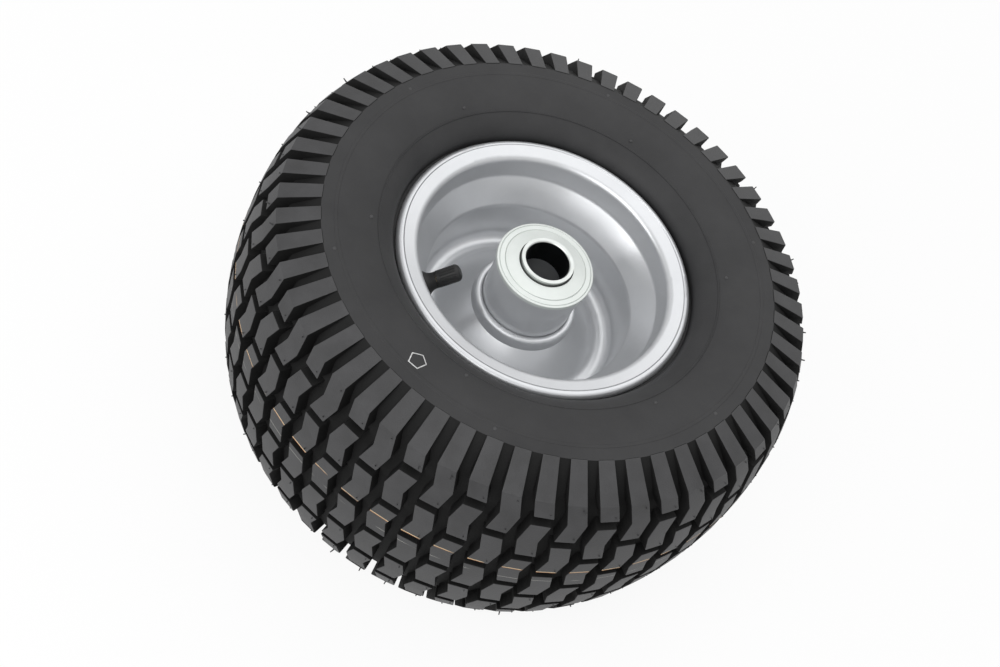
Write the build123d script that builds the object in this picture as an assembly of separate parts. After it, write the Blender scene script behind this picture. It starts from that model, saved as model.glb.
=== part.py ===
from build123d import *
from math import atan2, cos, degrees, pi, radians, sin, sqrt, tan
import os

# Garden machine wheel: a turf-tread tubeless tyre on a pressed steel rim, with a flanged ball bearing in
# each end of the hub. Millimetres. The axle runs along Z, the front face looks up, and the origin is the
# wheel's centre.

# Tyre
tyre_diameter = 334.0
tyre_width = 159.0
crown_arc_radius = 240.0
crown_arc_half_width = 45.0
shoulder_drop = 13.8
shoulder_inset = 8.0
buttress_drop = 36.0
belly_drop = 50.0
shelf_width = 13.5
shelf_fall = 5.0
dip_width = 5.0
dip_rise = 4.0
lip_gap = 2.0
crown_thickness = 6.5
sidewall_thickness = 5.5
bead_width = 14.0
bead_height = 9.0
bead_chamfer = 2.0
bead_gap = 0.2

# Tread pattern: zigzag bars across the tread, cut into blocks at alternate bends
pattern_repeats = 28
tread_depth = 7.0
shoulder_tread_depth = 8.5
shoulder_groove_lean = 18.0
bar_angle = 3.95
first_bar_angle = 260.8
zigzag_step = 15.0
zigzag_swing = 1.25
slot_width = 5.0
lug_stand = 0.4
block_root = 1.0

# Rim, pressed from sheet in two halves that meet in the middle plane
rim_width = 129.0
lip_diameter = 173.0
flange_height = 10.3
rim_sheet = 2.5
lip_bend = 3.2
lip_straight = 0.6
flange_fall = 3.0
flange_bend = 4.0
seat_depth = 14.0
seat_taper = 1.3
seat_bend = 4.0
slope_depth = 15.5
slope_run = 10.9
slope_bend = 5.0
well_taper = 1.5
valley_width = 10.0
valley_bend = 6.0
collar_height = 24.0
collar_rise = 4.5
collar_bend = 4.0
weld_gap = 0.1

# Hub tube
hub_length = 115.0
hub_diameter = 53.0
hub_wall = 2.7
hub_chamfer = 0.6

# Bearings
bore_diameter = 25.4
bore_chamfer = 0.65
ring_wall = 2.65
ring_stand = 6.7
ring_length = 17.4
ring_shoulder = 1.05
flange_diameter = 57.15
cup_sheet = 1.4
cup_bend = 1.6
cup_hole_gap = 0.6
cover_sheet = 1.1
cover_bend = 1.5
cover_brim = 3.5
cover_rise = 1.9
cover_gap = 0.75
press_gap = 0.05
ball_diameter = 7.144
ball_count = 12
first_ball_share = 0.5
ball_depth = 5.0
run_gap = 0.05
cage_wall = 3.0
cage_below = 1.2
cage_above = 4.6
pocket_gap = 0.12

# Snap-in valve, square to the sloping wall of the front half
valve_angle = 217.0
valve_hole_diameter = 11.5
valve_fit_gap = 0.1
flare_diameter = 15.5
flare_height = 1.6
flare_seat = 0.3
flare_lift = 0.6
neck_diameter = 9.5
stem_height = 9.0
bulb_diameter = 15.6
bulb_depth = 6.5
bulb_chamfer = 2.0
insert_diameter = 6.5
insert_bore = 3.8
insert_sink = 1.0
bond_gap = 0.02
nozzle_diameter = 7.7
nozzle_height = 20.2
chamber_diameter = 5.3
chamber_depth = 13.2
barrel_length = 8.5
barrel_sink = 1.2
barrel_gap = 0.1
pin_diameter = 1.4
pin_gap = 0.25
pin_sink = 0.3
pin_tail = 2.5
collar_diameter = 3.0
collar_thickness = 0.6
collar_sink = 0.2
spring_chamber_diameter = 3.5
spring_chamber_depth = 4.0
spring_wire = 0.4
spring_diameter = 2.4
spring_turns = 4
spring_gap = 0.05
seal_diameter = 3.6
seal_thickness = 0.75
seal_gap = 0.05
seal_plate = 0.8
cap_diameter = 9.9
cap_thread_gap = 0.1
cap_gap = 0.3
cap_top = 1.8
cap_edge = 2.8
cap_ribs = 20
cap_rib_groove = 0.35
cap_rib_margin = 2.0
cap_seal_thickness = 0.65
cap_seal_gap = 0.05

# Sizes that follow from those above
tyre_radius = tyre_diameter / 2
tyre_half = tyre_width / 2
shoulder = (tyre_radius - shoulder_drop, tyre_half - shoulder_inset)
buttress = (tyre_radius - buttress_drop, tyre_half)
lip_radius = lip_diameter / 2
lip_z = rim_width / 2
bead_seat_diameter = lip_diameter - 2 * flange_height
seat_radius = bead_seat_diameter / 2
seat_inside = seat_radius - rim_sheet
seat_top = (seat_inside, lip_z - flange_fall)
flange_lean = atan2(flange_fall, lip_radius - seat_inside)
lip_drop = lip_bend * tan((pi / 2 + flange_lean) / 2) + lip_straight
seat_foot = (seat_inside - seat_taper, seat_top[1] - seat_depth)
slope_foot = (seat_foot[0] - slope_run, seat_foot[1] - slope_depth)
valley_outer = slope_foot[0] - well_taper
hub_radius = hub_diameter / 2
hub_bore_radius = hub_radius - hub_wall
hub_end = hub_length / 2
collar_radius = hub_radius + weld_gap + rim_sheet
bore_radius = bore_diameter / 2
nose_radius = bore_radius + ring_wall
land_radius = nose_radius + ring_shoulder
ring_end = hub_end + ring_stand
ball_radius = ball_diameter / 2
ball_z = hub_end - ball_depth
race_radius = hub_bore_radius - press_gap - cup_sheet
pitch_radius = race_radius - run_gap - ball_radius
flange_radius = flange_diameter / 2
cup_flange_z = hub_end + cup_sheet
brim_z = cup_flange_z + cover_sheet


def section(points):
    """Section from (radius, height) points, standing on the XZ plane."""
    return Plane.XZ * make_face(Polyline(*points, close=True).edges())


def sheet_section(points, bends, thickness):
    """Section of a pressed sheet: its seen side runs through the points, and the metal lies to the left."""
    seen = FilletPolyline(*points, radius=bends)
    return Plane.XZ * make_face(offset(seen, thickness, side=Side.LEFT).edges())


def mirrored_section(upper_edges):
    """Section from the edges of its upper half, drawn with x as radius and y as height."""
    lower_edges = [edge.mirror(Plane.XZ) for edge in upper_edges]
    return Plane.XZ * make_face([*upper_edges, *lower_edges])


def both_ends(front):
    """The front solid and its mirror image at the rear."""
    return {"front": front, "rear": mirror(front, Plane.XY)}


def flange_back(radius):
    """Height of the tyre side of the rim's flange at a radius."""
    return lip_z - tan(flange_lean) * (lip_radius - radius) - rim_sheet / cos(flange_lean)


def seat_back(z):
    """Radius of the tyre side of the rim's bead seat at a height."""
    taper = seat_taper / seat_depth
    return seat_inside - taper * (seat_top[1] - z) + rim_sheet * sqrt(1 + taper**2)


def crown_radius(z):
    """Radius of the tread surface at a height, with the shoulder and the flank taken as straight."""
    height = abs(z)
    arc_height = min(height, crown_arc_half_width)
    arc_radius = tyre_radius - crown_arc_radius + sqrt(crown_arc_radius**2 - arc_height**2)
    if height <= crown_arc_half_width:
        return arc_radius
    start, end = (arc_radius, crown_arc_half_width), shoulder
    if height > shoulder[1]:
        start, end = shoulder, buttress
    return start[0] + (height - start[1]) / (end[1] - start[1]) * (end[0] - start[0])


def crown_line(depth, end):
    """Upper half of a tread line: the crown arc, sunk by a depth, and an arc from it to an end point."""
    radius = crown_arc_radius - depth
    lean = degrees(atan2(crown_arc_half_width, sqrt(crown_arc_radius**2 - crown_arc_half_width**2)))
    crown = CenterArc((tyre_radius - crown_arc_radius, 0), radius, 0, lean)
    return [crown, TangentArc(crown @ 1, end, tangent=crown % 1)]


def below_shoulder(depth):
    """Point under the shoulder's edge, a depth in from it."""
    lean = radians(shoulder_groove_lean)
    return (shoulder[0] - depth * cos(lean), shoulder[1] - depth * sin(lean))


def carcass_section():
    """The tyre without its blocks: groove floor, sidewall, bead and air space."""
    wall_top = (buttress[0], buttress[1] - lug_stand)
    belly = (tyre_radius - belly_drop, wall_top[1])
    shelf = (lip_radius + shelf_width, tyre_half - shelf_fall)
    dip = (lip_radius + dip_width, lip_z + dip_rise)
    clear = (lip_radius + lip_gap, lip_z - lip_drop / 2)
    under_lip = lip_z - lip_drop - lip_gap / 2
    face_top = lip_radius - rim_sheet - bead_gap
    heel = flange_back(seat_radius + bead_chamfer) - bead_gap
    toe = heel - bead_width
    floor_end = below_shoulder(shoulder_tread_depth)
    floor = crown_line(tread_depth, floor_end)
    sidewall = Spline(wall_top, belly, shelf, dip, clear, tangents=[(-1, 0), (0, -1)])
    bead = Polyline(
        clear,
        (clear[0], under_lip),
        (face_top, under_lip),
        (face_top, min(under_lip + bead_gap, flange_back(face_top) - bead_gap)),
        (seat_radius + bead_chamfer, heel),
        (seat_back(heel - bead_chamfer) + bead_gap, heel - bead_chamfer),
        (seat_back(toe) + bead_gap, toe),
        (seat_radius + bead_height, toe),
    )
    liner_end = below_shoulder(shoulder_tread_depth + crown_thickness)
    liner = crown_line(tread_depth + crown_thickness, liner_end)
    inner_wall = Spline(
        bead @ 1,
        (shelf[0] + sidewall_thickness / 2, shelf[1] - sidewall_thickness),
        (belly[0], belly[1] - sidewall_thickness),
        liner_end,
        tangents=[(0.5, 1), -(liner[1] % 1)],
    )
    return mirrored_section([*floor, Line(floor_end, wall_top), sidewall, *bead.edges(), inner_wall, *liner])


def block_section():
    """The band that the tread blocks are cut from, rooted a little below the groove floor."""
    root_end = below_shoulder(shoulder_tread_depth + block_root)
    under_buttress = (buttress[0] - block_root, buttress[1] - lug_stand - block_root)
    skirt = Polyline(shoulder, buttress, under_buttress, root_end)
    return mirrored_section(
        [*crown_line(0, shoulder), *skirt.edges(), *crown_line(tread_depth + block_root, root_end)]
    )


def bar_bends():
    """Bends of a bar from mid tread to the buttress, as (height, degrees sideways)."""
    count = int(shoulder[1] / zigzag_step) + 1
    bends = [(k * zigzag_step, zigzag_swing / 2 * (-1) ** k) for k in range(count)]
    end_side = -bends[-1][1]
    return [*bends, (shoulder[1], end_side), (tyre_half + block_root, end_side)]


def bar_edge(z, side):
    """Sideways place of a bar's edge at a height, in millimetres on the tread surface."""
    bends = bar_bends()
    for (low, low_turn), (high, high_turn) in zip(bends, bends[1:]):
        if abs(z) <= high:
            turn = low_turn + (abs(z) - low) / (high - low) * (high_turn - low_turn)
            return radians(turn + side * bar_angle / 2) * crown_radius(z)


def block_prism(low, high, angle):
    """Straight-walled prism of one block between two heights, standing out along the radius at an angle."""
    bend_heights = [sign * z for z, turn in bar_bends() for sign in (-1, 1)]
    heights = sorted({low, high, *(z for z in bend_heights if low < z < high)})
    left = [(bar_edge(z, -1), z) for z in heights]
    right = [(bar_edge(z, 1), z) for z in reversed(heights)]
    outward = Vector(cos(radians(angle)), sin(radians(angle)), 0)
    start = buttress[0] - 2 * shoulder_tread_depth
    plane = Plane(outward * start, x_dir=Vector(0, 0, 1).cross(outward), z_dir=outward)
    return extrude(plane * make_face(Polyline(*left, *right, close=True).edges()), tyre_radius)


def bar_prisms(parity, angle):
    """Prisms of one bar, cut by slots at every second bend."""
    count = int(shoulder[1] / zigzag_step) + 1
    slots = sorted({sign * k * zigzag_step for k in range(parity, count, 2) for sign in (-1, 1)})
    end = tyre_half + block_root
    lows = [-end, *(z + slot_width / 2 for z in slots)]
    highs = [*(z - slot_width / 2 for z in slots), end]
    return [block_prism(low, high, angle) for low, high in zip(lows, highs)]


def tyre():
    """The tyre: one repeat of the pattern is built with its blocks, and its skin goes round the wheel."""
    repeat_angle = 360 / pattern_repeats
    start = first_bar_angle - repeat_angle / 4
    carcass = Rot(0, 0, start) * revolve(carcass_section(), Axis.Z, repeat_angle)
    band = Rot(0, 0, start) * revolve(block_section(), Axis.Z, repeat_angle)
    prisms = bar_prisms(1, first_bar_angle) + bar_prisms(0, first_bar_angle + repeat_angle / 2)
    repeat = carcass + [band & prism for prism in prisms]
    skin = [face for face in repeat.faces() if not lies_on_axle_plane(face)]
    faces = [Rot(0, 0, k * repeat_angle) * face for k in range(pattern_repeats) for face in skin]
    return Solid(Shell(faces))


def lies_on_axle_plane(face):
    """True for a flat face whose plane holds the axle."""
    if face.geom_type != GeomType.PLANE:
        return False
    normal = face.normal_at()
    return abs(normal.Z) < 1e-6 and abs(normal.dot(face.center())) < 1e-4


def rim_half():
    """Front half of the rim: lip, flange, bead seat, slope, well, valley and hub collar, in one sheet."""
    points = [
        (lip_radius, lip_z - lip_drop),
        (lip_radius, lip_z),
        seat_top,
        seat_foot,
        slope_foot,
        (valley_outer, rim_sheet),
        (valley_outer - valley_width, rim_sheet),
        (collar_radius, collar_height - collar_rise),
        (collar_radius, collar_height),
    ]
    bends = [lip_bend, flange_bend, seat_bend, slope_bend, valley_bend, valley_bend, collar_bend]
    return revolve(sheet_section(points, bends, rim_sheet), Axis.Z)


def valve_place():
    """Plane of the valve: its origin is mid slope on the seen side of the rim, and its Z leaves the metal."""
    radius = (seat_foot[0] + slope_foot[0]) / 2
    height = (seat_foot[1] + slope_foot[1]) / 2
    inward = Vector(-cos(radians(valve_angle)), -sin(radians(valve_angle)), 0)
    return Plane(
        inward * -radius + Vector(0, 0, height),
        x_dir=Vector(0, 0, 1).cross(inward),
        z_dir=inward * slope_depth + Vector(0, 0, slope_run),
    )


def hub_tube():
    """Tube that joins the two halves and holds the bearings."""
    mouth = hub_bore_radius + hub_chamfer
    points = [
        (hub_radius, -hub_end),
        (hub_radius, hub_end),
        (mouth, hub_end),
        (hub_bore_radius, hub_end - hub_chamfer),
        (hub_bore_radius, hub_chamfer - hub_end),
        (mouth, -hub_end),
    ]
    return revolve(section(points), Axis.Z)


def bearing_cup():
    """Pressed cup with a flange that stops on the hub's end, and a round corner that the balls run in."""
    cup_floor = ball_z - ball_radius - run_gap
    points = [
        (flange_radius - cover_bend, cup_flange_z),
        (race_radius, cup_flange_z),
        (race_radius, cup_floor),
        (land_radius + cup_hole_gap, cup_floor),
    ]
    return revolve(sheet_section(points, [cup_bend, ball_radius + run_gap], cup_sheet), Axis.Z)


def bearing_cover():
    """Pressed cover, domed round the inner ring, with its edge rolled down over the cup's flange."""
    points = [
        (flange_radius, hub_end + press_gap),
        (flange_radius, brim_z),
        (flange_radius - cover_brim, brim_z),
        (nose_radius + cover_gap, brim_z + cover_rise),
    ]
    return revolve(sheet_section(points, [cover_bend, cover_bend], cover_sheet), Axis.Z)


def inner_ring():
    """Inner ring with a grooved land for the balls and a nose that stands out through the cover."""
    land_top = cup_flange_z - cover_gap
    points = [
        (bore_radius, ring_end - ring_length + bore_chamfer),
        (bore_radius + bore_chamfer, ring_end - ring_length),
        (land_radius, ring_end - ring_length),
        (land_radius, land_top),
        (nose_radius, land_top),
        (nose_radius, ring_end),
        (bore_radius + bore_chamfer, ring_end),
        (bore_radius, ring_end - bore_chamfer),
    ]
    groove = Pos(0, 0, ball_z) * Torus(pitch_radius, ball_radius + run_gap)
    return revolve(section(points), Axis.Z) - groove


def ball_places():
    """Places of the balls round the front race, the first of them a share of a step from the X axis."""
    first = first_ball_share * 360 / ball_count
    return [Pos(0, 0, ball_z) * place for place in PolarLocations(pitch_radius, ball_count, first)]


def balls():
    """The set of loose balls."""
    return Compound([place * Sphere(ball_radius).solid() for place in ball_places()])


def ball_cage():
    """Crown cage: a ring with a pocket snapped over each ball."""
    middle = Pos(0, 0, ball_z + (cage_above - cage_below) / 2)
    height = cage_above + cage_below
    ring = Cylinder(pitch_radius + cage_wall / 2, height) - Cylinder(pitch_radius - cage_wall / 2, height)
    return middle * ring - [place * Sphere(ball_radius + pocket_gap) for place in ball_places()]


def valve_stem():
    """Rubber body that snaps into the hole: a bulb behind the sheet, a neck through it and a flared stem."""
    hole = valve_hole_diameter / 2 - valve_fit_gap
    bulb = bulb_diameter / 2
    sheet_back = -rim_sheet - valve_fit_gap
    core = insert_diameter / 2 + bond_gap
    bottom = sheet_back - bulb_depth
    flare = flare_diameter / 2
    neck = neck_diameter / 2
    neck_foot = stem_height - flare_height
    skin = [
        Polyline((core, bottom), (bulb - bulb_chamfer, bottom), (bulb, bottom + bulb_chamfer)),
        Line((bulb, bottom + bulb_chamfer), (bulb, sheet_back)),
        Polyline((bulb, sheet_back), (hole, sheet_back), (hole, flare_seat), (flare, flare_lift)),
        Line((flare, flare_lift), (flare, flare_height)),
        Spline((flare, flare_height), (neck, neck_foot), tangents=[(-1, 1), (0, 1)]),
        Polyline((neck, neck_foot), (neck, stem_height), (core, stem_height), (core, bottom)),
    ]
    return revolve(Plane.XZ * make_face([edge for line in skin for edge in line.edges()]), Axis.Z)


def valve_insert():
    """Brass tube moulded into the stem, with the nozzle above it and the core's chamber inside."""
    tube = insert_diameter / 2
    nozzle = nozzle_diameter / 2
    bore = insert_bore / 2
    chamber = chamber_diameter / 2
    bottom = -rim_sheet - valve_fit_gap - bulb_depth + insert_sink
    chamber_floor = nozzle_height - chamber_depth
    points = [
        (bore, bottom),
        (tube, bottom),
        (tube, stem_height + bond_gap),
        (nozzle, stem_height + bond_gap),
        (nozzle, nozzle_height),
        (chamber, nozzle_height),
        (chamber, chamber_floor),
        (bore, chamber_floor),
    ]
    return revolve(section(points), Axis.Z)


def core_barrel():
    """Screwed barrel of the valve core, with the pin's hole and the spring's chamber."""
    outside = chamber_diameter / 2 - barrel_gap
    hole = pin_diameter / 2 + pin_gap
    chamber = spring_chamber_diameter / 2
    top = nozzle_height - barrel_sink
    points = [
        (hole, top - barrel_length),
        (outside, top - barrel_length),
        (outside, top),
        (chamber, top),
        (chamber, top - spring_chamber_depth),
        (hole, top - spring_chamber_depth),
    ]
    return revolve(section(points), Axis.Z)


def core_pin():
    """Pin with the collar that the spring lifts and the plate that carries the seal."""
    pin = pin_diameter / 2
    collar = collar_diameter / 2
    collar_top = nozzle_height - barrel_sink - collar_sink
    plate = seal_diameter / 2
    plate_top = nozzle_height - barrel_sink - barrel_length - seal_gap - seal_thickness
    points = [
        (0, plate_top - seal_plate - pin_tail),
        (pin, plate_top - seal_plate - pin_tail),
        (pin, plate_top - seal_plate),
        (plate, plate_top - seal_plate),
        (plate, plate_top),
        (pin, plate_top),
        (pin, collar_top - collar_thickness),
        (collar, collar_top - collar_thickness),
        (collar, collar_top),
        (pin, collar_top),
        (pin, nozzle_height - pin_sink),
        (0, nozzle_height - pin_sink),
    ]
    return revolve(section(points), Axis.Z)


def core_seal():
    """Rubber ring on the pin's plate, drawn up against the barrel."""
    top = nozzle_height - barrel_sink - barrel_length - seal_gap
    middle = Pos(0, 0, top - seal_thickness / 2)
    ring = Cylinder(seal_diameter / 2, seal_thickness) - Cylinder(pin_diameter / 2 + bond_gap, seal_thickness)
    return middle * ring


def core_spring():
    """Coil spring between the barrel's shelf and the pin's collar."""
    shelf = nozzle_height - barrel_sink - spring_chamber_depth
    room = spring_chamber_depth - collar_sink - collar_thickness
    travel = room - spring_wire - 2 * spring_gap
    path = Helix(travel / spring_turns, travel, spring_diameter / 2)
    wire = Plane(path @ 0, z_dir=path % 0) * Circle(spring_wire / 2)
    return Pos(0, 0, shelf + spring_gap + spring_wire / 2) * sweep(wire, path)


def valve_cap():
    """Plastic cap with ribs to grip, screwed over the nozzle."""
    outside = cap_diameter / 2
    bore = nozzle_diameter / 2 + cap_thread_gap
    bottom = stem_height + cap_gap
    ceiling = nozzle_height + cap_seal_gap + cap_seal_thickness
    top = ceiling + cap_top
    outline = Polyline(
        (bore, bottom), (outside, bottom), (outside, top), (0, top), (0, ceiling), (bore, ceiling), close=True
    )
    corner = make_face(outline.edges()).vertices().sort_by_distance((outside, top))[0]
    profile = fillet(corner, cap_edge)
    cap = revolve(Plane.XZ * profile, Axis.Z)
    groove_length = top - bottom - 2 * cap_rib_margin
    groove = Cylinder(cap_rib_groove, groove_length)
    middle = Pos(0, 0, (top + bottom) / 2)
    return cap - [middle * place * groove for place in PolarLocations(outside, cap_ribs)]


def cap_seal():
    """Rubber disc in the cap's ceiling that closes the nozzle."""
    disc = Cylinder(nozzle_diameter / 2, cap_seal_thickness)
    return Pos(0, 0, nozzle_height + cap_seal_gap + cap_seal_thickness / 2) * disc


# Every piece, at its place on the wheel
valve = valve_place().location
halves = both_ends(rim_half())
valve_hole = valve * Cylinder(valve_hole_diameter / 2, bulb_diameter)
pieces = {
    "air_tyre": tyre(),
    "rim_front": halves["front"] - valve_hole,
    "rim_rear": halves["rear"],
    "hub_tube": hub_tube(),
    "valve_stem": valve * valve_stem(),
    "valve_insert": valve * valve_insert(),
    "valve_core_barrel": valve * core_barrel(),
    "valve_core_pin": valve * core_pin(),
    "valve_core_seal": valve * core_seal(),
    "valve_core_spring": valve * core_spring(),
    "valve_cap": valve * valve_cap(),
    "valve_cap_seal": valve * cap_seal(),
}
bearing_pieces = {
    "bearing_cup": bearing_cup(),
    "bearing_cover": bearing_cover(),
    "inner_ring": inner_ring(),
    "balls": balls(),
    "ball_cage": ball_cage(),
}
for name, front in bearing_pieces.items():
    for end, solid in both_ends(front).items():
        pieces[f"{end}_{name}"] = solid

os.makedirs("parts", exist_ok=True)
for name, solid in pieces.items():
    export_step(solid, f"parts/{name}.step")
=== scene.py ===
import math
import random

import bmesh
import bpy
from mathutils import Matrix, Vector
from mathutils.geometry import interpolate_bezier


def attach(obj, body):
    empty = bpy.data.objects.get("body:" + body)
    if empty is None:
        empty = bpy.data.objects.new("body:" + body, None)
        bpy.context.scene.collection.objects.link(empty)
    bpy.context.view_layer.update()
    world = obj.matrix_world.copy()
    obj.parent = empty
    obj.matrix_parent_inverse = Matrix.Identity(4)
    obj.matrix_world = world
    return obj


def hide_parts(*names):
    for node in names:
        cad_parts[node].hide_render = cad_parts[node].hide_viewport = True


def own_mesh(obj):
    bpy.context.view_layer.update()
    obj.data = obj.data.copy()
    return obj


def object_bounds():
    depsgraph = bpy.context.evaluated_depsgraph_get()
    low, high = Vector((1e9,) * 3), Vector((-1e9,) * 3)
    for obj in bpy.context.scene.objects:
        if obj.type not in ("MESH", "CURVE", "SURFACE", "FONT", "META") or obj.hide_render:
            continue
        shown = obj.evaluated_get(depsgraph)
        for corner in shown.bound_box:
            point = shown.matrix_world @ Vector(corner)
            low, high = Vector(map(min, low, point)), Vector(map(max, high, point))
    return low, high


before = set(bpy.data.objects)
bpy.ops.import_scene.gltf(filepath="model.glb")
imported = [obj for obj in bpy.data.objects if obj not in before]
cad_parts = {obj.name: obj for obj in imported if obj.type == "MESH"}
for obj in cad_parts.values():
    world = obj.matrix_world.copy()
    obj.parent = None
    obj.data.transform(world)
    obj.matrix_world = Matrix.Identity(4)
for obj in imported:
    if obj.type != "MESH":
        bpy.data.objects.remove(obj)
cad_low, cad_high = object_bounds()
bpy.context.scene.view_settings.view_transform = "Standard"

# Tyre carcass: one rubber moulding with groove floors, sidewalls, beads and air space.
# Black rubber, dull and a little dusty, with fine moulded rings on each sidewall; the groove floors take a
# darker copy of the rubber as painted shade.
# One side of its section is drawn in millimetres, mirrored, and spun round the axle.
MM = 0.001
TYRE_STEPS = 224


def curve(start, start_handle, end_handle, end, count):
    """Points of a smooth curve in the section, without its last point."""
    corners = [Vector((r, z)) for r, z in (start, start_handle, end_handle, end)]
    return [tuple(p) for p in interpolate_bezier(*corners, count + 1)[:-1]]


def draw(bm, points, closed=False):
    """Draws a section of (radius, height) points as wire, and gives back its vertices."""
    verts = [bm.verts.new((r, 0, z)) for r, z in points]
    for start, end in zip(verts, verts[1:]):
        bm.edges.new((start, end))
    if closed:
        bm.edges.new((verts[-1], verts[0]))
    return verts


def spin(bm, steps):
    """Turns the drawn section once round the axle."""
    bmesh.ops.spin(
        bm, geom=bm.verts[:] + bm.edges[:], cent=(0, 0, 0), axis=(0, 0, 1),
        angle=math.tau, steps=steps, use_merge=True,
    )


def finish_piece(name, bm, materials, body="wheel", node=None, sharp_angle=40):
    """Makes a piece of a mesh in millimetres: metres, outward normals, smooth shading and its body."""
    bmesh.ops.transform(bm, matrix=Matrix.Scale(MM, 4), verts=bm.verts)
    bmesh.ops.recalc_face_normals(bm, faces=bm.faces)
    mesh = bpy.data.meshes.new(name)
    bm.to_mesh(mesh)
    bm.free()
    mesh.shade_smooth()
    mesh.set_sharp_from_angle(angle=math.radians(sharp_angle))
    for material in materials:
        mesh.materials.append(material)
    piece = bpy.data.objects.new(name, mesh)
    bpy.context.collection.objects.link(piece)
    piece.modifiers.new("flat_faces_first", "WEIGHTED_NORMAL").keep_sharp = True
    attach(piece, body)
    if node:
        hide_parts(node)
    return piece


def add_node(material, kind, **inputs):
    """Adds a shader node and sets its sockets."""
    node = material.node_tree.nodes.new(kind)
    for socket, value in inputs.items():
        node.inputs[socket.replace("_", " ")].default_value = value
    return node


def join(material, source, target):
    """Links an output socket to an input socket."""
    material.node_tree.links.new(source, target)


def surface(name, dark, light, patch_scale, grain_scale, rough, bump, metallic=0.0, grain_detail=3.0):
    """A material with patches of two colours, uneven gloss and a fine grain, all on object coordinates."""
    material = bpy.data.materials.new(name)
    material.use_nodes = True
    shader = material.node_tree.nodes["Principled BSDF"]
    shader.inputs["Metallic"].default_value = metallic
    place = add_node(material, "ShaderNodeTexCoord")
    patches = add_node(material, "ShaderNodeTexNoise", Scale=patch_scale, Detail=6.0, Roughness=0.6)
    join(material, place.outputs["Object"], patches.inputs["Vector"])
    colours = add_node(material, "ShaderNodeValToRGB")
    colours.color_ramp.elements[0].position = 0.3
    colours.color_ramp.elements[0].color = (*dark, 1)
    colours.color_ramp.elements[1].position = 0.7
    colours.color_ramp.elements[1].color = (*light, 1)
    join(material, patches.outputs["Fac"], colours.inputs["Fac"])
    join(material, colours.outputs["Color"], shader.inputs["Base Color"])
    gloss = add_node(material, "ShaderNodeMapRange", To_Min=rough[0], To_Max=rough[1])
    join(material, patches.outputs["Fac"], gloss.inputs["Value"])
    join(material, gloss.outputs["Result"], shader.inputs["Roughness"])
    grain = add_node(material, "ShaderNodeTexNoise", Scale=grain_scale, Detail=grain_detail)
    join(material, place.outputs["Object"], grain.inputs["Vector"])
    relief = add_node(material, "ShaderNodeBump", Strength=bump, Distance=0.0003)
    join(material, grain.outputs["Fac"], relief.inputs["Height"])
    join(material, relief.outputs["Normal"], shader.inputs["Normal"])
    return material


def set_shader(material, **inputs):
    """Sets sockets of a material's shader to one value all over the surface."""
    for socket, value in inputs.items():
        material.node_tree.nodes["Principled BSDF"].inputs[socket.replace("_", " ")].default_value = value


rubber = surface("tyre_rubber", (0.021, 0.021, 0.022), (0.036, 0.036, 0.037), 28, 1400, (0.5, 0.66), 0.25)
# A darker, less glossy copy of the rubber: painted shade for the groove floors and the block walls.
groove_shade_rubber = surface(
    "groove_shade_rubber", (0.008, 0.008, 0.008), (0.013, 0.013, 0.013), 60, 1100, (0.6, 0.75), 0.3
)
set_shader(rubber, Specular_IOR_Level=0.28)
set_shader(groove_shade_rubber, Specular_IOR_Level=0.12)
GROOVE_SHADE_RADIUS = 131.5
section = [
    *curve((160.0, 0.0), (160.0, 14.7), (158.6, 29.3), (155.9, 43.7), 4),
    *curve((155.9, 43.7), (154.1, 52.8), (150.5, 61.4), (145.1, 68.9), 4),
    (145.1, 68.9),
    (131.0, 79.1),
    (124.2, 79.15),
    (123.9, 79.35),
    (122.3, 79.35),
    (122.0, 79.15),
    *curve((118.5, 79.15), (112.5, 78.9), (105.0, 77.0), (99.6, 74.3), 8),
    (99.6, 74.3),
    (99.3, 74.55),
    (98.6, 74.1),
    *curve((98.5, 73.6), (94.5, 71.2), (88.8, 67.8), (88.5, 62.2), 8),
    (88.5, 62.2),
    (88.5, 58.9),
    (83.8, 58.9),
    (78.2, 59.8),
    (76.1, 57.8),
    (75.0, 45.8),
    *curve((85.2, 45.8), (90.0, 57.0), (97.0, 66.0), (102.8, 69.0), 3),
    *curve((102.8, 69.0), (112.0, 73.8), (127.0, 76.0), (138.9, 66.9), 4),
    *curve((138.9, 66.9), (148.0, 58.0), (153.5, 24.0), (153.5, 0.0), 5),
    (153.5, 0.0),
]
carcass = bmesh.new()
draw(carcass, section)
bmesh.ops.mirror(carcass, geom=carcass.verts[:] + carcass.edges[:], axis="Z", merge_dist=1e-4)
spin(carcass, TYRE_STEPS)
# Faces beyond this radius, the groove floors, take the darker rubber as painted shade.
for face in carcass.faces:
    face.material_index = int(face.calc_center_median().xy.length > GROOVE_SHADE_RADIUS)
finish_piece("tyre_carcass", carcass, [rubber, groove_shade_rubber], node="air_tyre", sharp_angle=24)

# Tread blocks: zigzag bars cut into blocks at every second bend, with long lugs on the shoulders.
# Rubber moulded in one with the carcass, with edges that are just rounded; the tops are a lighter copy of the
# rubber as painted light, and the walls a darker one as painted shade.
# One repeat of the pattern is extruded from a strip for each block, bevelled, and carried round 28 times.
REPEATS = 28
FIRST_BAR = math.radians(260.8)
BAR_HALF = math.radians(3.95 / 2)
SWING = math.radians(1.25 / 2)
BEND_STEP = 15.0
LAST_BEND = 4
SLOT_HALF = 2.5
CROWN_Z = 45.0
CROWN_ARC = 240.0
CROWN_OFFSET = -73.0
SHOULDER_ARC = 90.05
SHOULDER_CENTRE = (74.29, 28.116)
CREASE_Z = 71.5
CREASE_RADIUS = 153.2
CREASE_ROOT = (144.2, 67.8)
BUTTRESS_Z = 79.5
BUTTRESS_RUN = 22.2
BUTTRESS_ROOT = (129.5, 77.9)
ROOT_DEPTH = 8.2
BLOCK_EDGE = 0.55


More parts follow.
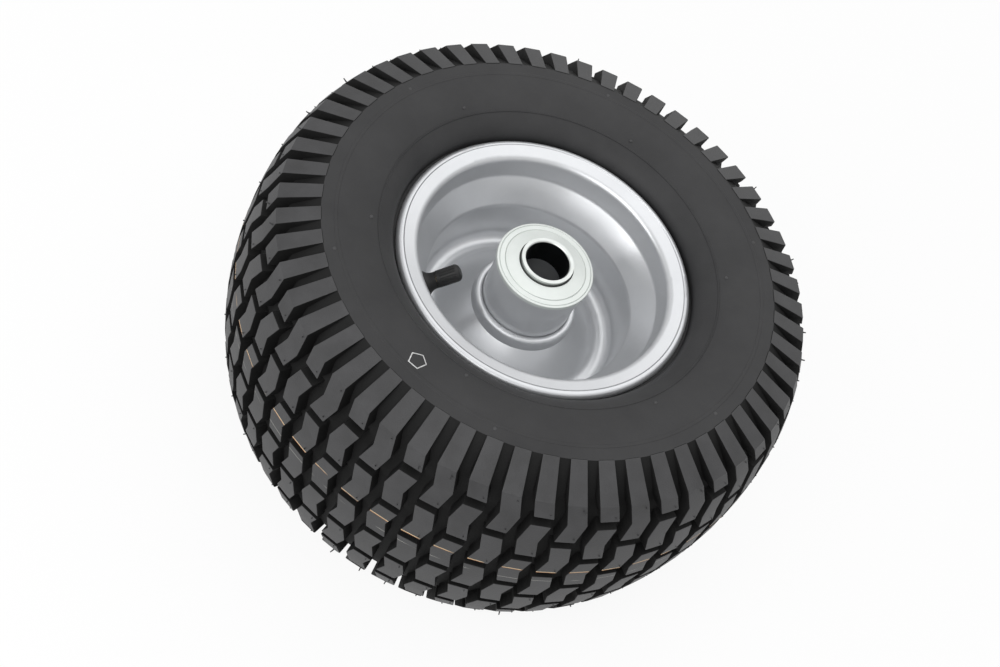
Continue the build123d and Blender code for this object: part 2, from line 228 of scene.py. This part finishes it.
def tread_radius(z):
    """Radius of the tread's surface at a height: crown arc, shoulder arc, then the straight flank."""
    z = abs(z)
    if z <= CROWN_Z:
        return math.sqrt(CROWN_ARC**2 - z**2) + CROWN_OFFSET
    if z <= CREASE_Z:
        return SHOULDER_CENTRE[0] + math.sqrt(SHOULDER_ARC**2 - (z - SHOULDER_CENTRE[1]) ** 2)
    return CREASE_RADIUS - (z - CREASE_Z) / (BUTTRESS_Z - CREASE_Z) * BUTTRESS_RUN


def bar_turn(z):
    """Sideways turn of a bar at a height from mid tread."""
    z = abs(z)
    bend = min(int(z / BEND_STEP), LAST_BEND)
    start = SWING * (-1) ** bend
    stretch = (CREASE_Z - LAST_BEND * BEND_STEP) if bend == LAST_BEND else BEND_STEP
    return start * (1 - 2 * min((z - bend * BEND_STEP) / stretch, 1.0))


def block(bm, rows, turn, mirrored):
    """One block on the rows of heights given: a strip on the tread, extruded down to its root."""
    made = bmesh.ops.create_grid(bm, x_segments=1, y_segments=len(rows) - 1, size=1.0)["verts"]
    made.sort(key=lambda v: (round(v.co.y, 4), v.co.x))
    around = Matrix.Rotation(turn, 4, "Z")
    side = -1 if mirrored else 1
    roots = {}
    for index, vert in enumerate(made):
        z = rows[index // 2]
        radius = tread_radius(z)
        sideways = (bar_turn(z) + (2 * (index % 2) - 1) * BAR_HALF) * radius
        root = (math.sqrt(radius**2 - sideways**2) - ROOT_DEPTH, z)
        if z == CREASE_Z:
            root = CREASE_ROOT
        if z == BUTTRESS_Z:
            root = BUTTRESS_ROOT
        vert.co = around @ Vector((math.sqrt(radius**2 - sideways**2), sideways, side * z))
        roots[vert] = around @ Vector((root[0], sideways, side * root[1]))
    faces = list({face for vert in made for face in vert.link_faces})
    lower = bmesh.ops.extrude_face_region(bm, geom=faces, use_keep_orig=True)["geom"]
    lower_verts = [v for v in lower if isinstance(v, bmesh.types.BMVert)]
    top_of = {v: min(made, key=lambda m: (m.co - v.co).length) for v in lower_verts}
    for vert, top in top_of.items():
        vert.co = roots[top]
    rim_edges = [e for e in bm.edges if e.verts[0] in roots and e.verts[1] in roots]
    outline = [e for e in rim_edges if sum(f in faces for f in e.link_faces) == 1]
    corners = [made[0], made[1], made[-2], made[-1]]
    uprights = [e for v in corners for e in v.link_edges if e not in rim_edges]
    # The block walls take the darker rubber as painted shade in the grooves.
    for wall in {f for v in lower_verts for f in v.link_faces}:
        wall.material_index = 1
    bmesh.ops.bevel(
        bm, geom=outline + uprights, offset=BLOCK_EDGE, offset_type="OFFSET", segments=2, profile=0.5,
        affect="EDGES", clamp_overlap=True, material=-1,
    )


def add_stripes(material, bottom, top, stops, breaks):
    """Lays thin ink stripes on a material, each between two heights in millimetres, with worn gaps."""
    shader = material.node_tree.nodes["Principled BSDF"]
    under = shader.inputs["Base Color"].links[0].from_socket
    place = add_node(material, "ShaderNodeTexCoord")
    split = add_node(material, "ShaderNodeSeparateXYZ")
    join(material, place.outputs["Object"], split.inputs["Vector"])
    height = add_node(material, "ShaderNodeMapRange", From_Min=bottom * MM, From_Max=top * MM)
    join(material, split.outputs["Z"], height.inputs["Value"])
    bands = add_node(material, "ShaderNodeValToRGB")
    bands.color_ramp.interpolation = "CONSTANT"
    bands.color_ramp.elements.remove(bands.color_ramp.elements[1])
    bands.color_ramp.elements[0].color = (0, 0, 0, 0)
    for z, colour, cover in stops:
        stop = bands.color_ramp.elements.new((z - bottom) / (top - bottom))
        stop.color = (*colour, cover)
    join(material, height.outputs["Result"], bands.inputs["Fac"])
    wear = add_node(material, "ShaderNodeTexNoise", Scale=breaks, Detail=2.0)
    join(material, place.outputs["Object"], wear.inputs["Vector"])
    worn = add_node(material, "ShaderNodeMapRange", From_Min=0.4, From_Max=0.5)
    join(material, wear.outputs["Fac"], worn.inputs["Value"])
    cover = add_node(material, "ShaderNodeMath")
    cover.operation = "MULTIPLY"
    join(material, bands.outputs["Alpha"], cover.inputs[0])
    join(material, worn.outputs["Result"], cover.inputs[1])
    mix = add_node(material, "ShaderNodeMix")
    mix.data_type = "RGBA"
    join(material, cover.outputs["Value"], mix.inputs[0])
    join(material, under, mix.inputs[6])
    join(material, bands.outputs["Color"], mix.inputs[7])
    join(material, mix.outputs[2], shader.inputs["Base Color"])


# A lighter, glossier copy of the tyre rubber: the lighter tone is painted light on the block tops, lugs and
# nibs; the stripes on it are ink.
lit_tread_rubber = surface(
    "lit_tread_rubber", (0.026, 0.026, 0.027), (0.046, 0.046, 0.048), 55, 1300, (0.44, 0.62), 0.4
)
set_shader(lit_tread_rubber, Specular_IOR_Level=0.42)
chalk, orange, straw = (0.5, 0.5, 0.46), (0.5, 0.2, 0.06), (0.72, 0.62, 0.4)
add_stripes(
    lit_tread_rubber, 6.0, 28.0,
    [(7.9, chalk, 0.6), (8.3, chalk, 0), (18.0, orange, 0.8), (18.4, straw, 0.9), (18.8, chalk, 0)],
    70,
)
tread = bmesh.new()
end_rows = {
    1: [3 * BEND_STEP + SLOT_HALF, 4 * BEND_STEP, CREASE_Z, BUTTRESS_Z],
    0: [4 * BEND_STEP + SLOT_HALF, CREASE_Z, BUTTRESS_Z],
}
half_repeat = math.pi / REPEATS
for parity in (1, 0):
    angle = FIRST_BAR + (1 - parity) * half_repeat
    bend_heights = [k * BEND_STEP for k in range(1 - parity, LAST_BEND + 1, 2)]
    bends = [z for z in bend_heights if z < end_rows[parity][0]]
    for mirrored in (False, True):
        for z in bends:
            if z > 0 or not mirrored:
                reach = BEND_STEP - SLOT_HALF
                block(tread, [z - reach, z, z + reach], angle, mirrored)
        block(tread, end_rows[parity], angle, mirrored)
bmesh.ops.spin(
    tread, geom=tread.verts[:] + tread.edges[:] + tread.faces[:], cent=(0, 0, 0), axis=(0, 0, 1),
    angle=math.tau * (REPEATS - 1) / REPEATS, steps=REPEATS - 1, use_duplicate=True,
)
finish_piece("tread_blocks", tread, [lit_tread_rubber, groove_shade_rubber], sharp_angle=33)

# Vent nibs: the stubs and hairs that rubber leaves where the mould lets its air out.
# The tread's lighter rubber with its painted light, cut short on most blocks and left long on some shoulder
# lugs.
# Each is a thin cone rooted in its block, and a low dome on the sidewalls.
random.seed(7)
NIB_HEIGHTS = {1: (20.5, 50.5, 69.0), 0: (35.5, 65.0)}
NIB_SINK = 0.8
NIB_ASIDE = 0.62
HAIR_FROM_Z = 60
HAIR_CHANCE = 0.25
nibs = bmesh.new()
for bar in range(2 * REPEATS):
    for z in NIB_HEIGHTS[1 - bar % 2]:
        for side in (1, -1):
            radius = tread_radius(z)
            hair = z > HAIR_FROM_Z and random.random() < HAIR_CHANCE
            length = random.uniform(1.2, 3.6) if hair else random.uniform(0.4, 0.8)
            turn = FIRST_BAR + bar * half_repeat + bar_turn(z) + NIB_ASIDE * BAR_HALF
            lean = random.uniform(-0.3, 0.3) if hair else 0.0
            outward = Vector((math.cos(turn + lean), math.sin(turn + lean), side * z / 200))
            foot = Vector((radius * math.cos(turn), radius * math.sin(turn), side * z))
            bmesh.ops.create_cone(
                nibs, cap_ends=True, segments=6, radius1=0.5, radius2=0.32, depth=length + NIB_SINK,
                matrix=Matrix.Translation(foot + outward * (length - NIB_SINK) / 2)
                @ outward.to_track_quat("Z", "Y").to_matrix().to_4x4(),
            )
for radius, height, first, rise in ((103.5, 76.1, 326.3, 0.5), (125.5, 79.1, 278.6, 0.32)):
    for step in range(6):
        turn = math.radians(first + 60 * step)
        for side in (1, -1):
            foot = (radius * math.cos(turn), radius * math.sin(turn), side * height)
            bmesh.ops.create_uvsphere(
                nibs, u_segments=12, v_segments=6, radius=1.0,
                matrix=Matrix.Translation(foot) @ Matrix.Diagonal((1.1, 1.1, rise, 1)),
            )
finish_piece("vent_nibs", nibs, [lit_tread_rubber])

# Inspection mark: a plain five-sided outline stamped on the front sidewall.
# White ink, thin and a little uneven.
# A flat outline cut small and laid on the sidewall's curve.
MARK_PLACE = (-31.4, -112.3)
MARK_RADIUS = 5.2
MARK_TURN = math.radians(60)
MARK_LINE = 0.6
MARK_HEIGHT = 79.2
SIDEWALL_FLAT = 118.0
SIDEWALL_SAG = 0.022
ink = surface("white_ink", (0.35, 0.35, 0.35), (0.75, 0.75, 0.75), 600, 2500, (0.6, 0.75), 0.1)
mark = bmesh.new()
bmesh.ops.create_circle(
    mark, cap_ends=True, segments=5, radius=MARK_RADIUS, matrix=Matrix.Rotation(MARK_TURN, 4, "Z")
)
bmesh.ops.inset_region(
    mark, faces=mark.faces[:], thickness=MARK_LINE, use_boundary=True, use_even_offset=True
)
bmesh.ops.delete(mark, geom=[f for f in mark.faces if len(f.verts) > 4], context="FACES_ONLY")
bmesh.ops.subdivide_edges(mark, edges=mark.edges[:], cuts=3, use_grid_fill=True)
bmesh.ops.translate(mark, verts=mark.verts, vec=(*MARK_PLACE, MARK_HEIGHT))
for vert in mark.verts:
    vert.co.z -= SIDEWALL_SAG * max(SIDEWALL_FLAT - vert.co.xy.length, 0) ** 2
finish_piece("inspection_mark", mark, [ink])

# Rim halves: two steel pressings that meet in the middle plane, each burred into a collar round the hub.
# Silver paint over smooth sheet, with a fine sparkle and a thin clear gloss.
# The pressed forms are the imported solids, which keep their shape here and take the paint.
def dress(material, *nodes):
    """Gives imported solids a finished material."""
    for node in nodes:
        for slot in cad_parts[node].material_slots:
            slot.material = material


def axle_distance(material):
    """Socket with a point's distance from the axle, in metres."""
    place = add_node(material, "ShaderNodeTexCoord")
    flat = add_node(material, "ShaderNodeVectorMath")
    flat.operation = "MULTIPLY"
    flat.inputs[1].default_value = (1, 1, 0)
    join(material, place.outputs["Object"], flat.inputs[0])
    far = add_node(material, "ShaderNodeVectorMath")
    far.operation = "LENGTH"
    join(material, flat.outputs["Vector"], far.inputs[0])
    return far.outputs["Value"]


def rolled_step(material, radius, width, depth):
    """Lowers a finish by a small step inside a radius of the axle, as rolling leaves on a lip."""
    rise = add_node(material, "ShaderNodeMapRange", From_Min=(radius - width) * MM, From_Max=radius * MM)
    rise.interpolation_type = "SMOOTHSTEP"
    join(material, axle_distance(material), rise.inputs["Value"])
    step = add_node(material, "ShaderNodeBump", Strength=1.0, Distance=depth * MM)
    join(material, rise.outputs["Result"], step.inputs["Height"])
    join(material, material.node_tree.nodes["Bump"].outputs["Normal"], step.inputs["Normal"])
    join(material, step.outputs["Normal"], material.node_tree.nodes["Principled BSDF"].inputs["Normal"])


LIP_STEP_RADIUS = 82.9
LIP_STEP_WIDTH = 0.8
LIP_STEP_DEPTH = 0.7
silver = surface(
    "silver_paint", (0.50, 0.51, 0.525), (0.57, 0.58, 0.595), 18, 5200, (0.28, 0.36), 0.05, metallic=0.6
)
rolled_step(silver, LIP_STEP_RADIUS, LIP_STEP_WIDTH, LIP_STEP_DEPTH)
set_shader(silver, Coat_Weight=0.25, Coat_Roughness=0.2)
dress(silver, "rim_front", "rim_rear")

# Hub tube: a plain steel tube welded into both collars.
# Steel, painted with the rim after it is welded in.
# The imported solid, in the same paint.
dress(silver, "hub_tube")

# Hub welds: a heavy round bead laid over each collar, which joins it to the tube.
# Painted with the rim, and smooth but for the small ripples of the weld.
# A ring of beads spun round the axle, with each step a little fuller or thinner than the last.
WELD_STEPS = 120
WELD_HEIGHT = 23.9
weld_round = [
    (26.4, 25.3), (27.2, 25.9), (28.4, 26.1), (29.7, 25.7), (30.6, 24.8), (31.0, 23.6), (31.1, 16.6),
    (26.4, 16.6),
]
for end, side in (("front", 1), ("rear", -1)):
    weld = bmesh.new()
    draw(weld, [(r, side * z) for r, z in weld_round], closed=True)
    spin(weld, WELD_STEPS)
    ripples = [random.uniform(0.96, 1.04) for _ in range(WELD_STEPS)]
    for vert in weld.verts:
        turn = math.atan2(vert.co.y, vert.co.x) % math.tau
        swell = ripples[round(turn / math.tau * WELD_STEPS) % WELD_STEPS]
        vert.co.z = side * (WELD_HEIGHT + (abs(vert.co.z) - WELD_HEIGHT) * swell)
    finish_piece(f"{end}_hub_weld", weld, [silver], sharp_angle=80)

# Bearings: in each end of the hub a pressed cup, a ring of balls in a cage, an inner ring and a cover.
# Bright zinc on the pressings, ground steel on the ring and balls with the ring near black in its bore, and
# pale nylon in the cage.
# The imported solids in these finishes, but for the covers, which are spun here with their pressed grooves.
zinc = surface(
    "zinc_plate", (0.57, 0.60, 0.58), (0.63, 0.66, 0.64), 60, 3000, (0.44, 0.54), 0.05, metallic=0.55
)
ring_steel = surface(
    "ring_steel", (0.44, 0.46, 0.445), (0.55, 0.57, 0.555), 80, 2600, (0.25, 0.36), 0.05, metallic=0.9
)
ball_steel = surface(
    "ball_steel", (0.6, 0.6, 0.61), (0.7, 0.7, 0.71), 200, 4000, (0.06, 0.12), 0.02, metallic=1.0
)


def darken_inside(material, inner, radius, edge):
    """Gives a material another colour within a radius of the axle."""
    shader = material.node_tree.nodes["Principled BSDF"]
    bare = add_node(
        material, "ShaderNodeMapRange", From_Min=(radius - edge) * MM, From_Max=(radius + edge) * MM
    )
    join(material, axle_distance(material), bare.inputs["Value"])
    under = shader.inputs["Base Color"].links[0].from_socket
    mix = add_node(material, "ShaderNodeMix")
    mix.data_type = "RGBA"
    mix.inputs[6].default_value = inner
    join(material, bare.outputs["Result"], mix.inputs[0])
    join(material, under, mix.inputs[7])
    join(material, mix.outputs[2], shader.inputs["Base Color"])


# The inner ring is near black within its bore.
BORE_DARK_RADIUS = 12.85
BORE_DARK_EDGE = 0.1
darken_inside(ring_steel, (0.02, 0.022, 0.024, 1), BORE_DARK_RADIUS, BORE_DARK_EDGE)
nylon = surface("cage_nylon", (0.55, 0.52, 0.45), (0.66, 0.63, 0.56), 120, 2600, (0.4, 0.5), 0.12)
COVER_STEPS = 128
cover_round = [
    (27.45, 57.6), (28.575, 57.6), (28.575, 59.3), (28.4, 59.75), (27.95, 59.98), (27.3, 59.98),
    (27.0, 59.55), (26.7, 59.98), (24.1, 60.1), (23.8, 59.75), (23.5, 60.3), (16.6, 61.75),
    (16.15, 61.7), (16.1, 60.9), (25.0, 58.9), (27.45, 58.9),
]
for end, side in (("front", 1), ("rear", -1)):
    cover = bmesh.new()
    draw(cover, [(r, side * z) for r, z in cover_round], closed=True)
    spin(cover, COVER_STEPS)
    finish_piece(f"{end}_cover", cover, [zinc], node=f"{end}_bearing_cover", sharp_angle=30)
    dress(zinc, f"{end}_bearing_cup")
    dress(ring_steel, f"{end}_inner_ring")
    dress(ball_steel, f"{end}_balls")
    dress(nylon, f"{end}_ball_cage")

# Shade lips: a thin ring in each bearing that fills the gap between the cover and the inner ring, as painted
# shade for that dark gap.
# Near-black rubber, standing for the shade in the gap.
# A small section spun round the axle.
gap_shade_rubber = surface("gap_shade_rubber", (0.004, 0.004, 0.004), (0.007, 0.007, 0.007), 150, 3000, (0.6, 0.7), 0.1)
lip_round = [(15.45, 60.5), (16.1, 60.8), (16.1, 61.3), (15.45, 61.3)]
for end, side in (("front", 1), ("rear", -1)):
    lip = bmesh.new()
    draw(lip, [(r, side * z) for r, z in lip_round], closed=True)
    spin(lip, COVER_STEPS)
    finish_piece(f"{end}_shade_lip", lip, [gap_shade_rubber])

# Valve: a rubber snap-in stem round a brass tube, with the core inside it.
# Black rubber and yellow brass.
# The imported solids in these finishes, but for the brass insert, which is turned here with its thread.
valve_rubber = surface(
    "valve_rubber", (0.007, 0.007, 0.007), (0.012, 0.012, 0.012), 150, 3000, (0.44, 0.56), 0.2
)
set_shader(valve_rubber, Specular_IOR_Level=0.3)
brass = surface(
    "valve_brass", (0.55, 0.36, 0.13), (0.68, 0.47, 0.19), 250, 4000, (0.22, 0.34), 0.06, metallic=1.0
)
dress(valve_rubber, "valve_stem", "valve_core_seal", "valve_cap_seal")
dress(brass, "valve_core_barrel", "valve_core_pin")
VALVE_AXIS = (0.65328, 0.49228, 0.57523)
VALVE_SEAT = (-53.469, -40.292, 39.75)
NOZZLE_RADIUS = 3.85
THREAD_DEPTH = 0.35
THREAD_FOOT = 9.6
THREAD_PITCH = 0.8
THREAD_TURNS = 12
INSERT_STEPS = 48
valve_lean = Vector(VALVE_AXIS).to_track_quat("Z", "Y").to_matrix().to_4x4()
valve_place = Matrix.Translation(VALVE_SEAT) @ valve_lean
thread_round = []
for turn in range(THREAD_TURNS):
    crest = THREAD_FOOT + turn * THREAD_PITCH
    thread_round += [(NOZZLE_RADIUS, crest), (NOZZLE_RADIUS - THREAD_DEPTH, crest + THREAD_PITCH / 2)]
insert_round = [
    (1.9, -8.1), (3.25, -8.1), (3.25, 9.02), (NOZZLE_RADIUS, 9.02), *thread_round, (NOZZLE_RADIUS, 19.6),
    (3.5, 20.2), (2.65, 20.2), (2.65, 7.0), (1.9, 7.0),
]
insert = bmesh.new()
draw(insert, insert_round, closed=True)
spin(insert, INSERT_STEPS)
bmesh.ops.transform(insert, matrix=valve_place, verts=insert.verts)
finish_piece("threaded_insert", insert, [brass], node="valve_insert", sharp_angle=30)

# Core spring: a small coil that lifts the pin and gives way when the pin is pressed.
# Bright steel wire.
# A round of wire spun up its turns at one even rise, its ends closed.
spring_steel = surface(
    "spring_steel", (0.42, 0.42, 0.43), (0.55, 0.55, 0.56), 300, 5000, (0.2, 0.3), 0.04, metallic=1.0
)
WIRE_RADIUS = 0.2
WIRE_SIDES = 8
COIL_RADIUS = 1.2
COIL_TURNS = 4
COIL_STEPS = 96
COIL_RISE = 2.7
WIRE_FOOT = 15.25
coil = bmesh.new()
wire_place = Matrix.Translation((COIL_RADIUS, 0, WIRE_FOOT)) @ Matrix.Rotation(math.pi / 2, 4, "X")
bmesh.ops.create_circle(coil, segments=WIRE_SIDES, radius=WIRE_RADIUS, matrix=wire_place)
bmesh.ops.spin(
    coil, geom=coil.verts[:] + coil.edges[:], cent=(0, 0, 0), axis=(0, 0, 1),
    dvec=(0, 0, COIL_RISE / COIL_STEPS), angle=math.tau * COIL_TURNS, steps=COIL_STEPS,
)
bmesh.ops.holes_fill(coil, edges=[e for e in coil.edges if e.is_boundary], sides=WIRE_SIDES)
bmesh.ops.transform(coil, matrix=valve_place, verts=coil.verts)
spring_coil = finish_piece("spring_coil", coil, [spring_steel], node="valve_core_spring")
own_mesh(spring_coil)

# Valve cap: a moulded cap with ribs to grip, screwed over the nozzle.
# Black plastic, smoother than the stem.
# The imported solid, with a fine moulded grain.
cap_plastic = surface(
    "cap_plastic", (0.007, 0.007, 0.007), (0.012, 0.012, 0.012), 200, 3600, (0.36, 0.48), 0.12
)
set_shader(cap_plastic, Specular_IOR_Level=0.32)
dress(cap_plastic, "valve_cap")

# Floor and backdrop: a plain white sweep that keeps a soft shadow under the tyre.
# Matt white paper, shown nine parts in ten as plain white, so that it reads as in a studio.
# A single flat sheet under the wheel that lies on it.
FLOOR_HALF = 6.0
PLAIN_SHARE = 0.9


def seen_directly(material):
    """Socket that is 1 for what is seen straight, mirrored or through glass, and 0 for light on the wheel."""
    rays = add_node(material, "ShaderNodeLightPath")
    seen = add_node(material, "ShaderNodeMath")
    seen.operation = "MAXIMUM"
    join(material, rays.outputs["Is Camera Ray"], seen.inputs[0])
    join(material, rays.outputs["Is Glossy Ray"], seen.inputs[1])
    seen_through = add_node(material, "ShaderNodeMath")
    seen_through.operation = "MAXIMUM"
    join(material, seen.outputs["Value"], seen_through.inputs[0])
    join(material, rays.outputs["Is Transmission Ray"], seen_through.inputs[1])
    return seen_through.outputs["Value"]


floor_mesh = bmesh.new()
bmesh.ops.create_grid(floor_mesh, x_segments=1, y_segments=1, size=FLOOR_HALF)
bmesh.ops.translate(floor_mesh, verts=floor_mesh.verts, vec=(0, 0, cad_low.z))
paper_mesh = bpy.data.meshes.new("floor")
floor_mesh.to_mesh(paper_mesh)
floor_mesh.free()
floor = bpy.data.objects.new("floor", paper_mesh)
bpy.context.collection.objects.link(floor)
paper = bpy.data.materials.new("white_paper")
paper.use_nodes = True
paper_shader = paper.node_tree.nodes["Principled BSDF"]
set_shader(paper, Base_Color=(0.9, 0.9, 0.9, 1), Roughness=0.9)
glow = add_node(paper, "ShaderNodeEmission", Color=(1, 1, 1, 1), Strength=1.0)
share = add_node(paper, "ShaderNodeMath")
share.operation = "MULTIPLY"
share.inputs[1].default_value = PLAIN_SHARE
join(paper, seen_directly(paper), share.inputs[0])
blend = add_node(paper, "ShaderNodeMixShader")
join(paper, share.outputs["Value"], blend.inputs["Fac"])
join(paper, paper_shader.outputs["BSDF"], blend.inputs[1])
join(paper, glow.outputs["Emission"], blend.inputs[2])
join(paper, blend.outputs["Shader"], paper.node_tree.nodes["Material Output"].inputs["Surface"])
paper_mesh.materials.append(paper)

# Studio light: a white room, large soft lights overhead and in front, and a small low one on the left.
# The room is plain white to the eye and in reflections, and dimmer as a source of light.
# The lamps are square panels turned towards the wheel.
world = bpy.data.worlds.new("studio")
bpy.context.scene.world = world
world.use_nodes = True
room = world.node_tree.nodes["Background"]
room.inputs["Color"].default_value = (1, 1, 1, 1)
ROOM_LIGHT = 0.5
room_level = add_node(world, "ShaderNodeMapRange", To_Min=ROOM_LIGHT, To_Max=1.0)
join(world, seen_directly(world), room_level.inputs["Value"])
join(world, room_level.outputs["Result"], room.inputs["Strength"])


def panel(name, place, aim, size, power):
    """A square soft light at a place, turned towards a point."""
    light = bpy.data.lights.new(name, "AREA")
    light.size = size
    light.energy = power
    lamp = bpy.data.objects.new(name, light)
    lamp.location = place
    lamp.rotation_mode = "QUATERNION"
    lamp.rotation_quaternion = (Vector(aim) - Vector(place)).to_track_quat("-Z", "Y")
    bpy.context.collection.objects.link(lamp)


panel("overhead_light", (0.1, 0.55, 1.4), (0, 0, 0), 1.8, 9.5)
panel("front_light", (-0.35, -1.2, 1.0), (0, 0, 0), 1.5, 13)
panel("low_light", (-1.3, -1.05, 0.6), (0, 0, 0), 0.6, 5)

# Camera: the photo's view, from above the near side and rolled to the right.
# A plain lens of middle length, with everything sharp.
lens = bpy.data.cameras.new("camera")
lens.sensor_width = 36.0
lens.lens = 48.6
camera = bpy.data.objects.new("camera", lens)
right = Vector((0.8634, 0.4036, 0.3027)).normalized()
back = Vector((0.0, -0.6, 0.8))
up = back.cross(right)
camera_turn = Matrix((right, up, back)).transposed().to_4x4()
camera.matrix_world = Matrix.Translation((-0.0027, -0.4900, 0.6364)) @ camera_turn
bpy.context.collection.objects.link(camera)
bpy.context.scene.camera = camera
